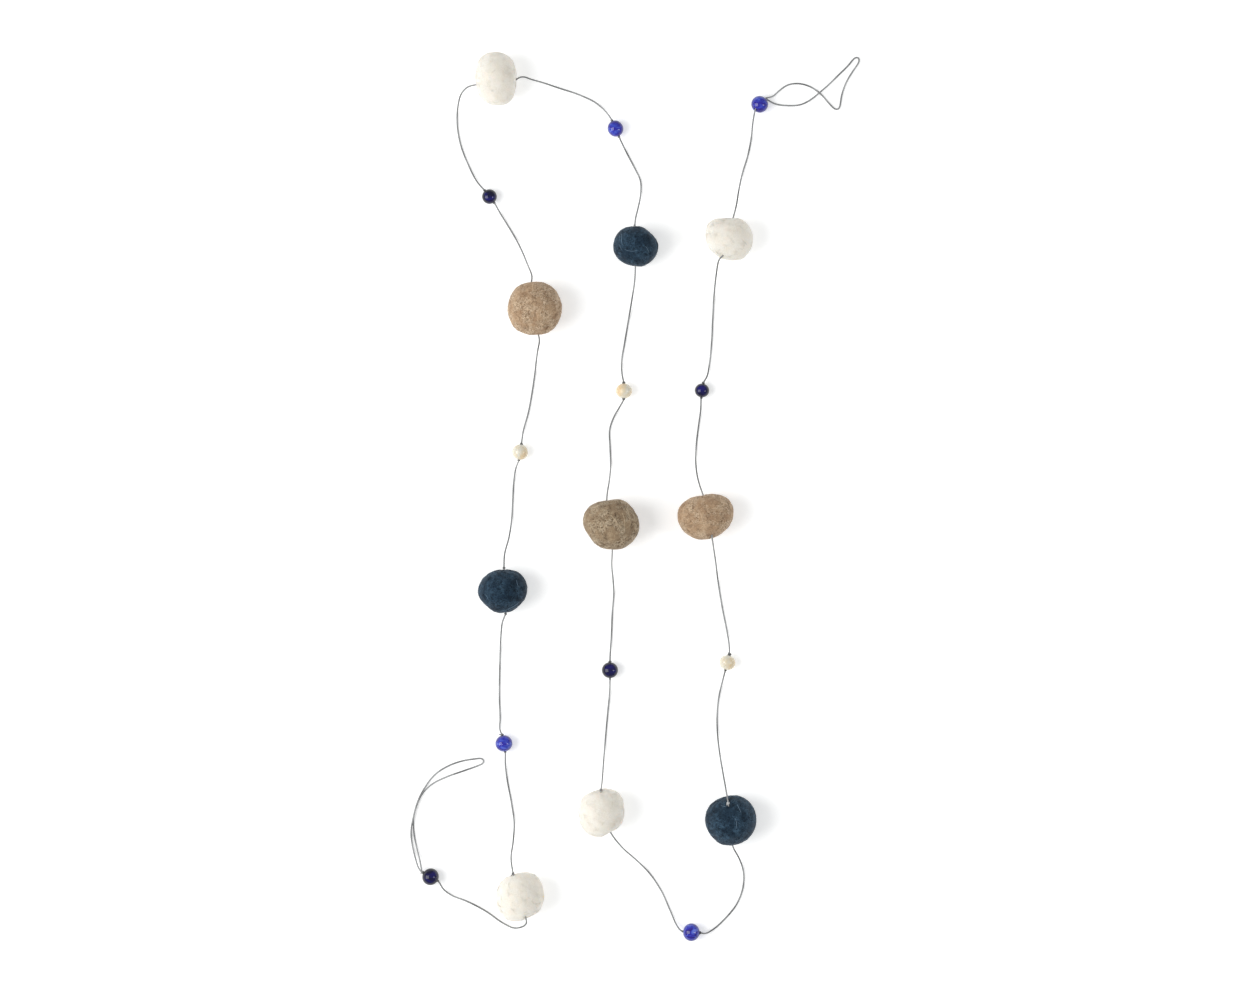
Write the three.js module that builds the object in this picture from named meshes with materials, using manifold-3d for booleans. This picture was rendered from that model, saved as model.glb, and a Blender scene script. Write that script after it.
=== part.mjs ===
// Felt ball garland: ten wool balls and eleven glass beads knotted along one thin waxed cord,
// with a loop of the cord at each end, laid flat in three columns.
// Millimetres, +X to the right, +Y along the columns, +Z up from the surface it lies on.
// The origin lies on that surface, in the middle of the balls and beads.
import * as THREE from "three";
import { mergeVertices } from "three/addons/utils/BufferGeometryUtils.js";
import Module from "manifold-3d";

const wasm = await Module();
wasm.setup();

// The cord, its knots and the holes that it runs through
const CORD_THICK = 0.9;
const CORD_SIDES = 8;
const KNOT_THICK = 2.0;
const KNOT_LONG = 1.6;
const HOLE_RADIUS = 0.85;
const HOLE_SIDES = 10;
const CLEAR = 0.3;

// How far the balls and beads are pressed flat where they rest
const BALL_FLAT = 0.4;
const BEAD_FLAT = 0.12;

// How finely the round pieces are faceted
const BALL_DETAIL = 4;
const BEAD_SIDES = 12;
const BEAD_BANDS = 6;

// Wool felt by colour, and glass by colour
const FELT = {
  white: { color: 0xebe5dc, roughness: 0.95 },
  tan: { color: 0xb0926f, roughness: 0.95 },
  brown: { color: 0x988065, roughness: 0.95 },
  navy: { color: 0x25384a, roughness: 0.95 },
};
const GLASS = {
  cobalt: { color: 0x2f2c9c, roughness: 0.12 },
  ink: { color: 0x14142c, roughness: 0.12 },
  cream: { color: 0xe2d3b6, roughness: 0.18 },
};
const CORD = { color: 0x8a8784, roughness: 0.6 };

// The balls in their order along the cord. x and y place the middle; wide, deep and tall are the
// full sizes before the lumps, turned anticlockwise by turn degrees. enter and leave give the
// bearing and the rise, in degrees from the middle, of the two ends of the cord's hole. A lump
// swells the felt by some millimetres towards a bearing, and a negative one presses it flat; its
// spread is in degrees. knots says at which ends of the hole a knot shows.
const BALLS = [
  {
    felt: "white", x: 77.4, y: 149.2, wide: 27.6, deep: 24.4, tall: 25.0, turn: 0,
    enter: [80, 5], leave: [247, 25], knots: [],
    lumps: [
      { toward: 138, rise: 0, by: 2.1, spread: 26 },
      { toward: 212, rise: 0, by: -1.0, spread: 32 },
      { toward: 56, rise: 10, by: 0.9, spread: 28 },
      { toward: 303, rise: 0, by: 0.8, spread: 20 },
    ],
  },
  {
    felt: "tan", x: 63.3, y: -11.0, wide: 32.6, deep: 26.4, tall: 27.6, turn: 15,
    enter: [95, 0], leave: [289, 26], knots: [],
    lumps: [
      { toward: 36, rise: 0, by: 1.1, spread: 26 },
      { toward: 97, rise: 0, by: -0.8, spread: 22 },
      { toward: 160, rise: 8, by: 0.8, spread: 22 },
      { toward: 212, rise: 0, by: -1.0, spread: 26 },
    ],
  },
  {
    felt: "navy", x: 78.3, y: -186.3, wide: 29.4, deep: 28.8, tall: 28.0, turn: 0,
    enter: [100, 44], leave: [272, -22], knots: ["enter"],
    lumps: [
      { toward: 52, rise: 0, by: 0.5, spread: 28 },
      { toward: 103, rise: 0, by: -0.5, spread: 20 },
      { toward: 160, rise: 0, by: 0.4, spread: 18 },
      { toward: 250, rise: 5, by: 0.5, spread: 18 },
    ],
  },
  {
    felt: "white", x: 3.4, y: -181.8, wide: 26.8, deep: 28.2, tall: 26.8, turn: 0,
    enter: [295, 5], leave: [91, 24], knots: ["leave"],
    lumps: [
      { toward: 47, rise: 0, by: 1.3, spread: 26 },
      { toward: 108, rise: 0, by: -1.3, spread: 22 },
      { toward: 238, rise: 0, by: 0.9, spread: 25 },
      { toward: 298, rise: 0, by: -1.3, spread: 20 },
    ],
  },
  {
    felt: "brown", x: 9.0, y: -15.6, wide: 33.2, deep: 29.2, tall: 29.4, turn: -15,
    enter: [273, 0], leave: [100, 0], knots: [],
    lumps: [
      { toward: 58, rise: 5, by: 1.1, spread: 22 },
      { toward: 106, rise: 0, by: -0.8, spread: 20 },
      { toward: 205, rise: 0, by: -1.2, spread: 26 },
      { toward: 327, rise: 20, by: -0.5, spread: 25 },
    ],
  },
  {
    felt: "navy", x: 23.3, y: 145.0, wide: 26.0, deep: 23.8, tall: 24.4, turn: 0,
    enter: [269, 0], leave: [93, 5], knots: ["leave"],
    lumps: [
      { toward: 38, rise: 0, by: -1.0, spread: 24 },
      { toward: 128, rise: 0, by: 0.4, spread: 25 },
      { toward: 243, rise: 0, by: -0.5, spread: 28 },
    ],
  },
  {
    felt: "white", x: -57.5, y: 241.9, wide: 24.0, deep: 30.6, tall: 26.4, turn: 0,
    enter: [358, 0], leave: [197, 0], knots: [],
    lumps: [
      { toward: 125, rise: 0, by: 1.2, spread: 24 },
      { toward: 50, rise: 0, by: 0.6, spread: 24 },
      { toward: 304, rise: 0, by: 1.3, spread: 25 },
      { toward: 236, rise: 0, by: 0.6, spread: 18 },
    ],
  },
  {
    felt: "tan", x: -35.0, y: 109.1, wide: 31.2, deep: 31.0, tall: 30.2, turn: 0,
    enter: [97, 0], leave: [278, 0], knots: [],
    lumps: [
      { toward: 49, rise: 0, by: 0.5, spread: 22 },
      { toward: 128, rise: 0, by: 0.5, spread: 22 },
      { toward: 225, rise: 0, by: 0.5, spread: 22 },
      { toward: 312, rise: 0, by: 0.5, spread: 22 },
    ],
  },
  {
    felt: "navy", x: -53.7, y: -54.2, wide: 28.8, deep: 25.6, tall: 26.0, turn: 0,
    enter: [86, 0], leave: [279, 0], knots: ["enter", "leave"],
    lumps: [
      { toward: 48, rise: 0, by: 1.1, spread: 28 },
      { toward: 223, rise: 0, by: -1.3, spread: 24 },
      { toward: 325, rise: 0, by: -0.9, spread: 26 },
      { toward: 155, rise: 0, by: -0.4, spread: 25 },
    ],
  },
  {
    felt: "white", x: -43.5, y: -231.0, wide: 28.0, deep: 28.2, tall: 27.2, turn: 0,
    enter: [106, 8], leave: [287, 32], knots: ["enter"],
    lumps: [
      { toward: 55, rise: 0, by: 1.7, spread: 28 },
      { toward: 294, rise: 0, by: -1.9, spread: 22 },
      { toward: 228, rise: 0, by: 0.6, spread: 25 },
      { toward: 335, rise: 10, by: -0.4, spread: 25 },
    ],
  },
];

// The glass beads in their order along the cord. thick is measured across the hole and long
// along it; the cord runs through towards the bearing, and climbs by rise degrees.
const BEADS = [
  { glass: "cobalt", x: 95.1, y: 227.7, thick: 9.9, long: 9.5, bearing: 229, rise: 33, knots: ["enter"] },
  { glass: "ink", x: 61.7, y: 62.0, thick: 8.4, long: 7.9, bearing: 263, rise: 0, knots: ["enter", "leave"] },
  { glass: "cream", x: 76.4, y: -95.6, thick: 9.2, long: 8.4, bearing: 255, rise: 0,
    knots: ["enter", "leave"] },
  { glass: "cobalt", x: 55.5, y: -251.7, thick: 10.4, long: 9.5, bearing: 177, rise: 0,
    knots: ["enter", "leave"] },
  { glass: "ink", x: 8.4, y: -100.0, thick: 9.4, long: 9.1, bearing: 90, rise: 0, knots: ["enter", "leave"] },
  { glass: "cream", x: 16.5, y: 61.7, thick: 9.3, long: 8.6, bearing: 91, rise: 0,
    knots: ["enter", "leave"] },
  { glass: "cobalt", x: 11.6, y: 213.7, thick: 9.0, long: 9.4, bearing: 113, rise: 0,
    knots: ["enter", "leave"] },
  { glass: "ink", x: -61.4, y: 174.3, thick: 8.6, long: 8.4, bearing: 308, rise: 0,
    knots: ["enter", "leave"] },
  { glass: "cream", x: -43.6, y: 26.3, thick: 9.2, long: 8.9, bearing: 261, rise: 0,
    knots: ["enter", "leave"] },
  { glass: "cobalt", x: -53.0, y: -142.4, thick: 9.9, long: 9.4, bearing: 279, rise: 0,
    knots: ["enter", "leave"] },
  { glass: "ink", x: -95.5, y: -219.6, thick: 10.0, long: 9.4, bearing: 152, rise: 0,
    knots: ["enter", "leave"] },
];

// The cord's free stretches, each from one threaded piece to the next. It falls from a ball to
// the surface, lies there, and climbs to the next hole. Each point is the middle of the cord.
const STRETCHES = [
  [[92, 222.4, 6.6], [91.2, 217.6, 4.2], [90.3, 208.5, 0.9], [88.4, 198.6, 0.6], [85.2, 188, 0.9],
    [83, 177.8, 4.6], [81.3, 168, 10.4]],
  [[72.1, 138.3, 17], [71.1, 136.6, 15.4], [70.5, 133.9, 12.9], [69.9, 129.4, 8.6], [68.9, 119.5, 2],
    [68, 104, 0.6], [67.4, 90.8, 0.6], [66, 77, 0.7], [64.5, 69.8, 2.8]],
  [[61, 51, 1.8], [60, 43.5, 0.6], [58.5, 31, 0.6], [58.1, 21, 2.4], [58.9, 12.8, 7], [60.6, 6, 11.4]],
  [[67.3, -23.5, 18.7], [67.7, -25.7, 16], [68.4, -30, 11.2], [69.6, -37.5, 5.8], [71.1, -49, 1.2],
    [73.6, -64.4, 0.6], [76.2, -77.5, 0.7], [77.5, -86, 2.6]],
  [[73.6, -106.5, 1.8], [71.6, -115.2, 0.6], [70.5, -127, 0.6], [70.9, -139, 1.7], [72.1, -149.2, 5.6],
    [73.8, -159.6, 12], [75.3, -168.4, 18.2]],
  [[79.9, -203, 6.2], [83, -208.6, 2.8], [85.7, -216.4, 0.8], [85.6, -225.6, 0.6], [82, -235.5, 0.6],
    [75, -244.3, 0.6], [67.6, -250.8, 1.3], [63.4, -252.7, 3.4]],
  [[49.5, -250.9, 4.4], [47.3, -248.2, 2.6], [43.6, -240.2, 0.7], [38.2, -228.2, 0.6], [31, -217.5, 0.6],
    [23.3, -209.7, 3.2], [16.2, -203.1, 8.8]],
  [[3.7, -165.6, 16.4], [4.3, -158.6, 9], [5, -149, 2], [5.9, -138, 0.6], [7, -125.5, 0.6],
    [8.2, -112.8, 1.2]],
  [[8.6, -89.4, 2], [9.2, -81, 0.6], [9.8, -66, 0.6], [10.6, -55.5, 0.8], [10.2, -48, 3.6],
    [9.4, -38.4, 10.4]],
  [[6.9, 2.6, 12], [8, 9.5, 6.2], [8.8, 18.5, 1.2], [8.4, 30, 0.6], [8.3, 40, 0.6], [10.8, 47, 0.7],
    [14.4, 53.2, 2.6]],
  [[15.4, 71.6, 2.4], [15.1, 78, 0.6], [16.9, 89.7, 0.6], [19.3, 104, 0.8], [21.2, 115.4, 4],
    [22.8, 126.6, 10.4]],
  [[23.3, 161.6, 11], [24.8, 168, 5.6], [26.2, 176, 1], [26.1, 183.6, 0.6], [22.8, 190.8, 0.6],
    [17.8, 200.4, 0.9]],
  [[6, 223.6, 1.8], [0.6, 228.5, 0.6], [-9.8, 233.6, 0.6], [-21.4, 237.4, 1.2], [-30.4, 240.2, 4.8],
    [-37.4, 241.8, 9.6], [-41.6, 243, 12], [-44, 242.6, 12.9]],
  [[-73, 237.6, 11.4], [-77.4, 234, 7.4], [-79.6, 227.4, 2.8], [-80.2, 217.6, 0.6], [-78.4, 205.4, 0.6],
    [-73.8, 193, 0.6], [-68.2, 182.4, 1.7]],
  [[-55.6, 165.4, 1.6], [-51, 158, 0.6], [-46, 149.6, 1.1], [-42, 141.5, 5.2], [-38.7, 133.4, 10.6],
    [-37.3, 130.2, 12.8], [-36.5, 127.2, 14.3]],
  [[-32.4, 92.2, 14.2], [-32.4, 89.8, 12.6], [-33.2, 86, 9.4], [-34, 81.4, 5.8], [-35, 73.2, 1.2],
    [-36.6, 62, 0.6], [-39, 49, 0.6], [-41.9, 38.4, 1.4]],
  [[-46.2, 17, 2.2], [-47.3, 10, 0.6], [-48, -2, 0.6], [-48.6, -12.6, 1], [-50, -22.8, 4.6],
    [-52.6, -33.6, 10.6]],
  [[-53.6, -71.4, 10.2], [-54.6, -78, 5], [-55.2, -88, 0.8], [-55.6, -103, 0.6], [-55.7, -117, 0.6],
    [-55.3, -128, 0.8], [-55.2, -135.4, 2.6]],
  [[-52.3, -154, 1.8], [-51.4, -162.4, 0.6], [-48.8, -176.6, 0.6], [-47.1, -189, 1.4], [-47.6, -199, 6],
    [-48.7, -209, 12.4]],
  [[-39.7, -244.4, 18.6], [-40.4, -246.6, 13.4], [-42.4, -248.3, 8.2], [-47.4, -249.4, 3.5],
    [-53.4, -246.9, 0.8], [-63.4, -240, 0.6], [-75.4, -233.8, 0.6], [-83.6, -230.6, 0.7],
    [-88.2, -227, 2]],
];

// The two end loops, each out from its knot and back to it. Where a loop crosses itself the
// second pass runs over the first in a low hump.
const FIRST_LOOP = [
  [99.1, 231.6, 2.6], [102.6, 232.4, 1.7], [106.4, 235.8, 0.7], [111.4, 239.2, 0.6], [117.6, 240, 0.6],
  [124, 238.4, 0.6], [130, 234.5, 0.6], [136, 227.9, 0.6], [138.5, 225.4, 0.6], [139.4, 224.8, 0.6],
  [140.4, 224.8, 0.6], [141.2, 225.4, 0.6], [141.6, 226.5, 0.6], [142.6, 232.6, 0.6],
  [145.2, 240.4, 0.6], [149.6, 247.8, 0.6], [152.7, 252.5, 0.6], [153.1, 253.8, 0.6],
  [152.4, 255.2, 0.6], [151, 255.4, 0.6], [150, 254.7, 0.6], [147.4, 251.5, 0.6], [140, 244.1, 0.6],
  [135, 239.2, 1.2], [130, 234.8, 1.9], [125, 230.8, 1.2], [119.4, 227.9, 0.6], [111.4, 227.2, 0.6],
  [104, 228.3, 0.6], [99.7, 230.6, 1.3],
];
const LAST_LOOP = [
  [-100.7, -215.9, 5.4], [-101.8, -210, 2.6], [-103.8, -202.6, 0.8], [-105.3, -194.4, 0.6],
  [-105.5, -185.6, 0.6], [-103.4, -177.2, 0.6], [-99.4, -168.8, 0.6], [-93.4, -160.9, 0.6],
  [-84.4, -155.2, 0.6], [-75, -152.3, 0.6], [-69, -151.5, 0.6], [-66.5, -151.2, 0.6],
  [-65, -151.8, 0.6], [-64.6, -153, 0.6], [-65.3, -154.3, 0.6], [-67.6, -155.3, 0.6],
  [-77, -158.7, 0.6], [-87.6, -162.5, 0.7], [-95.4, -166.6, 1.4], [-100.6, -172, 1.9],
  [-104, -179.4, 1.9], [-106, -187, 1.9], [-107, -194.4, 0.9], [-106.3, -201.4, 0.6],
  [-104.4, -209, 1.8], [-101.9, -215.6, 3.9],
];

// Turns degrees into a unit vector: bearing anticlockwise from +X, rise up from the surface.
function towards(bearing, rise) {
  const b = THREE.MathUtils.degToRad(bearing);
  const r = THREE.MathUtils.degToRad(rise);
  return new THREE.Vector3(Math.cos(b) * Math.cos(r), Math.sin(b) * Math.cos(r), Math.sin(r));
}

// A closed three.js geometry as a solid that can be joined and cut.
function solid(geometry) {
  const plain = geometry.clone();
  plain.deleteAttribute("normal");
  plain.deleteAttribute("uv");
  const merged = mergeVertices(plain, 1e-4);
  return new wasm.Manifold(
    new wasm.Mesh({
      numProp: 3,
      vertProperties: merged.attributes.position.array,
      triVerts: new Uint32Array(merged.index.array),
    }),
  );
}

// A joined or cut solid as a named mesh.
function meshOf(name, made, look) {
  const { vertProperties, triVerts } = made.getMesh();
  const geometry = new THREE.BufferGeometry();
  geometry.setAttribute("position", new THREE.BufferAttribute(vertProperties, 3));
  geometry.setIndex(new THREE.BufferAttribute(triVerts, 1));
  geometry.computeVertexNormals();
  const mesh = new THREE.Mesh(geometry, new THREE.MeshStandardMaterial({ metalness: 0, ...look }));
  mesh.name = name;
  return mesh;
}

// A geometry whose own length runs along +Y, turned to point along a direction and moved.
function aimed(geometry, place, direction) {
  const turn = new THREE.Quaternion().setFromUnitVectors(new THREE.Vector3(0, 1, 0), direction);
  return geometry.applyQuaternion(turn).translate(place.x, place.y, place.z);
}

// Everything under the surface, which presses the balls and beads flat where they rest.
function underSurface() {
  const size = 700;
  return solid(new THREE.BoxGeometry(size, size, size).translate(0, 0, -size / 2));
}

// How far the felt reaches from a ball's middle in a direction.
function feltReach(ball, direction) {
  const turn = THREE.MathUtils.degToRad(ball.turn);
  const local = direction.clone().applyAxisAngle(new THREE.Vector3(0, 0, 1), -turn);
  local.multiply(new THREE.Vector3(2 / ball.wide, 2 / ball.deep, 2 / ball.tall));
  const swell = ball.lumps.reduce((sum, lump) => {
    const away = THREE.MathUtils.radToDeg(towards(lump.toward, lump.rise).angleTo(direction));
    return sum + lump.by * Math.exp(-((away / lump.spread) ** 2));
  }, 0);
  return 1 / local.length() + swell;
}

// The ball's middle, and the ends of its hole on the felt's surface.
function placeBall(ball) {
  const middle = new THREE.Vector3(ball.x, ball.y, ball.tall / 2 - BALL_FLAT);
  const end = ([bearing, rise]) => {
    const direction = towards(bearing, rise);
    return direction.multiplyScalar(feltReach(ball, direction)).add(middle);
  };
  return { ...ball, middle, enters: end(ball.enter), leaves: end(ball.leave) };
}

// The bead's middle, and the ends of its hole.
function placeBead(bead) {
  const middle = new THREE.Vector3(bead.x, bead.y, bead.thick / 2 - BEAD_FLAT);
  const half = towards(bead.bearing, bead.rise).multiplyScalar(bead.long / 2);
  return { ...bead, middle, enters: middle.clone().sub(half), leaves: middle.clone().add(half) };
}

// The way the cord runs through a threaded piece.
function through(piece) {
  return piece.leaves.clone().sub(piece.enters).normalize();
}

// A felted wool ball, bored for the cord and pressed flat underneath.
function feltBall(ball) {
  const geometry = new THREE.IcosahedronGeometry(1, BALL_DETAIL);
  const position = geometry.getAttribute("position");
  for (let i = 0; i < position.count; i += 1) {
    const direction = new THREE.Vector3().fromBufferAttribute(position, i).normalize();
    const point = direction.clone().multiplyScalar(feltReach(ball, direction)).add(ball.middle);
    position.setXYZ(i, point.x, point.y, point.z);
  }
  const length = ball.wide + ball.deep;
  const hole = new THREE.CylinderGeometry(HOLE_RADIUS, HOLE_RADIUS, length, HOLE_SIDES);
  const centre = ball.enters.clone().add(ball.leaves).multiplyScalar(0.5);
  return solid(geometry).subtract(solid(aimed(hole, centre, through(ball)))).subtract(underSurface());
}

// A round glass bead, turned about its hole, with a flattened band round each end of it.
function glassBead(bead) {
  const radius = bead.thick / 2;
  const start = Math.asin(HOLE_RADIUS / radius);
  const profile = [];
  for (let i = 0; i <= BEAD_BANDS; i += 1) {
    const angle = start + ((Math.PI - 2 * start) * i) / BEAD_BANDS;
    const along = (-Math.cos(angle) * bead.long) / 2 / Math.cos(start);
    profile.push(new THREE.Vector2(radius * Math.sin(angle), along));
  }
  profile.push(profile[0].clone());
  const geometry = new THREE.LatheGeometry(profile, BEAD_SIDES, Math.PI / BEAD_SIDES);
  return solid(aimed(geometry, bead.middle, through(bead))).subtract(underSurface());
}

// A curve of straight runs from point to point, with one step of a sweep to each run.
class RunsPath extends THREE.Curve {
  constructor(points) {
    super();
    this.points = points;
  }

  getPoint(t, target = new THREE.Vector3()) {
    const place = THREE.MathUtils.clamp(t, 0, 1) * (this.points.length - 1);
    const index = Math.min(Math.floor(place), this.points.length - 2);
    return target.lerpVectors(this.points[index], this.points[index + 1], place - index);
  }

  getUtoTmapping(u) {
    return u;
  }
}

// The plain tube of a stretch of cord.
function cordTube(points) {
  const section = new THREE.Shape();
  for (let i = 0; i < CORD_SIDES; i += 1) {
    const angle = (2 * Math.PI * (i + 0.5)) / CORD_SIDES;
    const corner = [(Math.cos(angle) * CORD_THICK) / 2, (Math.sin(angle) * CORD_THICK) / 2];
    if (i === 0) section.moveTo(...corner);
    else section.lineTo(...corner);
  }
  section.closePath();
  const options = { steps: points.length - 1, extrudePath: new RunsPath(points) };
  return solid(new THREE.ExtrudeGeometry(section, options));
}

// A knot, as a short barrel round the cord.
function knot(place, direction) {
  const radius = KNOT_THICK / 2;
  const half = KNOT_LONG / 2;
  const profile = [
    new THREE.Vector2(0, -half),
    new THREE.Vector2(radius * 0.72, -half * 0.8),
    new THREE.Vector2(radius, 0),
    new THREE.Vector2(radius * 0.72, half * 0.8),
    new THREE.Vector2(0, half),
  ];
  return solid(aimed(new THREE.LatheGeometry(profile, CORD_SIDES), place, direction));
}

// Where the knot at one end of a threaded piece sits, just clear of it.
function knotPlace(piece, end) {
  const out = KNOT_LONG / 2 + CLEAR;
  const way = through(piece);
  if (end === "enter") return piece.enters.clone().addScaledVector(way, -out);
  return piece.leaves.clone().addScaledVector(way, out);
}

// The whole cord: one strand through every piece, a loop at each end, and all the knots.
function wholeCord(threaded) {
  const vectors = (points) => points.map((point) => new THREE.Vector3(...point));
  const strand = [knotPlace(threaded[0], "enter")];
  threaded.forEach((piece, i) => {
    strand.push(piece.enters, piece.leaves);
    if (i < STRETCHES.length) strand.push(...vectors(STRETCHES[i]));
  });
  strand.push(knotPlace(threaded.at(-1), "leave"));
  const knots = threaded.flatMap((piece) =>
    piece.knots.map((end) => knot(knotPlace(piece, end), through(piece))),
  );
  const tubes = [strand, vectors(FIRST_LOOP), vectors(LAST_LOOP)].map(cordTube);
  return [...tubes, ...knots].reduce((whole, next) => whole.add(next));
}

// The beads and balls take turns along the cord, with a bead first and last.
const number = (index) => String(index + 1).padStart(2, "0");
const beads = BEADS.map(placeBead);
const balls = BALLS.map(placeBall);
const threaded = beads.flatMap((bead, i) => (balls[i] ? [bead, balls[i]] : [bead]));

const garland = new THREE.Group();
garland.add(meshOf("cord", wholeCord(threaded), CORD));
balls.forEach((ball, i) => garland.add(meshOf(`ball_${number(i)}`, feltBall(ball), FELT[ball.felt])));
beads.forEach((bead, i) => garland.add(meshOf(`bead_${number(i)}`, glassBead(bead), GLASS[bead.glass])));

export default garland;
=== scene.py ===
"""A felt ball garland laid flat in three columns: wool balls and glass beads on one waxed cord.

Sizes in the tables are in millimetres and degrees. +X points right, +Y up the columns and +Z up
from the surface. Bearings turn anticlockwise from +X, and a rise is measured from the horizontal.
"""

import math

import bmesh
import bpy
import numpy as np
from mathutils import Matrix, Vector


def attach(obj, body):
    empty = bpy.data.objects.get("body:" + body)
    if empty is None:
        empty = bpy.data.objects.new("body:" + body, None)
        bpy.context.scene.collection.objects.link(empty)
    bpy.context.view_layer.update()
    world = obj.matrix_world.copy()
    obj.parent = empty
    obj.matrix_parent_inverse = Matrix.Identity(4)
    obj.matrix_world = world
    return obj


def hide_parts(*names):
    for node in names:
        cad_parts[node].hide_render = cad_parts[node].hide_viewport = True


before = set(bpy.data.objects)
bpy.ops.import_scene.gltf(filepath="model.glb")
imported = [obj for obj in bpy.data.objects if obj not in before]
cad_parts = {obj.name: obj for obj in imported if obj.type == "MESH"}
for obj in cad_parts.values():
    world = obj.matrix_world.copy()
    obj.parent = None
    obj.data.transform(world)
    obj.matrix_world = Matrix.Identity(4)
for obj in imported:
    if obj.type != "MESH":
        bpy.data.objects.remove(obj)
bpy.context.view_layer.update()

MM = 0.001

# The camera looks straight down from 3 m, and its picture spans 725 by 580 mm of the surface.
CAMERA_PLACE = (17.1, -1.45, 3000.0)
CAMERA_SPAN = 725.0
SENSOR = 36.0

# Each soft light: name, bearing, rise, distance and size in metres, and power in watts
LIGHTS = [
    ("key", 188, 42, 2.4, (1.7, 2.1), 46.5),
    ("fill", -10, 38, 2.4, (0.5, 0.9), 9),
]
SKY_COLOUR = (0.97, 0.985, 1.0, 1)
SKY_STRENGTH = 0.52
FLOOR_HALF = 6.0
FLOOR_GLOW = 0.3

# The cord: its thickness, the length of one twist, the step between its rings, how often its route
# is evened out, how low its middle may lie as a share of its thickness, and the section of one ply
# as shares of its radius
CORD_THICK = 0.9
CORD_LAY = 3.4
CORD_STEP = 0.4
EASE_PASSES = 16
CORD_LOWEST = 0.52
PLIES = 3
PLY_SECTION = (0.84, 1.03, 1.12, 1.03)

# A knot: its size, its gap to the bead at each end of the garland, and how far it stands from a
# hole as a share of its length. Its plait is given in shares of its thickness, and the threads of a
# cut tail by their number and their radii from root to tip.
KNOT_THICK = 1.8
KNOT_LONG = 1.6
KNOT_CLEAR = 0.3
KNOT_OUT = {"glass": 0.3, "felt": 0.2}
PLAIT_RING = 0.2
PLAIT_ROLL = 0.13
PLAIT_RISE = 1.35
PLAIT_STRAND = 0.34
PLAIT_TWISTS = 3
PLAIT_POINTS = 54
TAIL_SHARE = 0.7
TAIL_THREADS = 9
TAIL_RADII = (0.05, 0.05, 0.05, 0.045, 0.03)

# The flat spots underneath, and a bead's hole, the lip round it and the bead's fineness
BALL_FLAT = 0.4
BEAD_FLAT = 0.12
HOLE_RADIUS = 0.85
LIP = 0.16
BEAD_RINGS = 36
BEAD_SIDES = 56

# The felt's surface: bumps and creases as (size, depth), grooves and dimples as (depth, width), and
# the height below which a ball rounds off onto its flat spot
SPHERE_CUTS = 40
BUMPS = ((7.5, 0.34), (3.1, 0.2))
CREASES = ((1.9, 0.2), (1.15, 0.13))
GROOVE = (0.5, 0.5)
DIMPLES = ((0.75, 1.15), (0.28, 3.4))
FOOT = 0.25

# Fibres: how many lie on a ball, how many of them share a lock, how many stand out of it, the radii
# along each kind, and how far a long stray stands proud of the felt
LYING_FIBRES = 480
LOCK = 4
LYING_RADII = (0.014, 0.036, 0.044, 0.046, 0.044, 0.036, 0.008)
LOOSE_FIBRES = 1500
LOOSE_RADII = (0.028, 0.022, 0.004)
STRAY_POINTS = 22
STRAY_RADII = ([0, 3, 18, 21], [0.02, 0.13, 0.11, 0.02])
STRAY_PROUD = 0.07
FIBRE_LOWEST = 0.05

# Where the random draws start: a ball's fibres, its surface and the knots
FIBRE_SEED = 100
SURFACE_SEED = 40
KNOT_SEED = 7

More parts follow.
